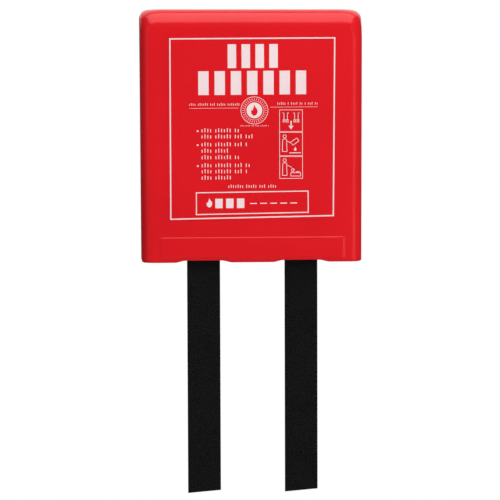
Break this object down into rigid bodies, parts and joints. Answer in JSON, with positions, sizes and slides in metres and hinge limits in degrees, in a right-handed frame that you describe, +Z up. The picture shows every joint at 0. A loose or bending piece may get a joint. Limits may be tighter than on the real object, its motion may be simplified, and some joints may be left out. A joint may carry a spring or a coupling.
{
  "type": "fire blanket in a wall case",
  "caption": "Red rigid wall case that holds a folded fire blanket, with black webbing pull tapes hanging from its open bottom and a hinged front cover.",
  "frame": {"origin": "on the wall plane, midway between the centres of the round entries of the keyholes in the back plate", "axes": "+Z up the wall, +Y into the wall, -Y out through the front cover, +X to the right as seen from the front"},
  "size_m": [0.168, 0.0365, 0.367],
  "materials": {
    "plate_plastic": "satin",
    "cover_plastic": "gloss",
    "label_film": "satin",
    "pin_steel": "satin",
    "glass_cloth": "matte",
    "webbing": "matte",
    "thread": "matte"
  },
  "bodies": {
    "case": {"back_plate": "plate_plastic", "hinge_pin_left": "pin_steel", "hinge_pin_right": "pin_steel"},
    "cover": {"front_cover": "cover_plastic", "front_label": "label_film"},
    "pack": {"blanket": "glass_cloth", "left_tape_anchor": "webbing", "right_tape_anchor": "webbing", "left_tape_stitching": "thread", "right_tape_stitching": "thread"},
    "tape_left": {"left_tape": "webbing"},
    "tape_right": {"right_tape": "webbing"}
  },
  "joints": [
    {"name": "cover_hinge", "type": "hinge", "parent": "case", "child": "cover", "pos_m": [0, -0.0034, 0.0448], "axis": [-1, 0, 0], "range_deg": [0, 90]},
    {"name": "blanket_pull", "type": "slide", "parent": "case", "child": "pack", "axis": [0, 0, -1], "range_m": [0, 0.2]},
    {"name": "left_tape_swing", "type": "hinge", "parent": "pack", "child": "tape_left", "pos_m": [-0.037, -0.03114, -0.144], "axis": [-1, 0, 0], "range_deg": [-10, 90]},
    {"name": "right_tape_swing", "type": "hinge", "parent": "pack", "child": "tape_right", "pos_m": [0.037, -0.03114, -0.144], "axis": [-1, 0, 0], "range_deg": [-10, 90]}
  ]
}
